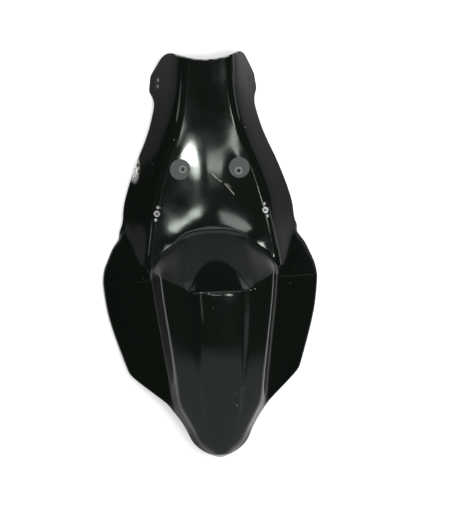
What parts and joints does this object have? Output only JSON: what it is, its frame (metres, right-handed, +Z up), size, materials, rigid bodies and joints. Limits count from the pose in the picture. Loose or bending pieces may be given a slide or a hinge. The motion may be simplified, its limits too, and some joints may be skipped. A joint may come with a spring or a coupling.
{
  "type": "race seat unit",
  "caption": "Black moulded glass-fibre race seat unit for a motorbike: narrow tank-side nose, dished pan, raised bump stop, side wings and a rounded tail hump.",
  "frame": {"origin": "middle of the bounding box at ground level, where the ears and wing lips rest", "axes": "+Y towards the tank-side nose, +X to the rider's right, +Z up"},
  "size_m": [0.4436, 0.8304, 0.1939],
  "materials": {
    "gelcoat": "gloss gelcoat, scuffed",
    "disc": "matt grey",
    "anchor": "plated",
    "rivet": "satin"
  },
  "bodies": {
    "root": {"seat_shell": "gelcoat", "mounting_disc_left": "disc", "mounting_disc_right": "disc", "anchor_nut_left": "anchor", "anchor_nut_right": "anchor", "anchor_rivets_left": "rivet", "anchor_rivets_right": "rivet"}
  },
  "joints": []
}
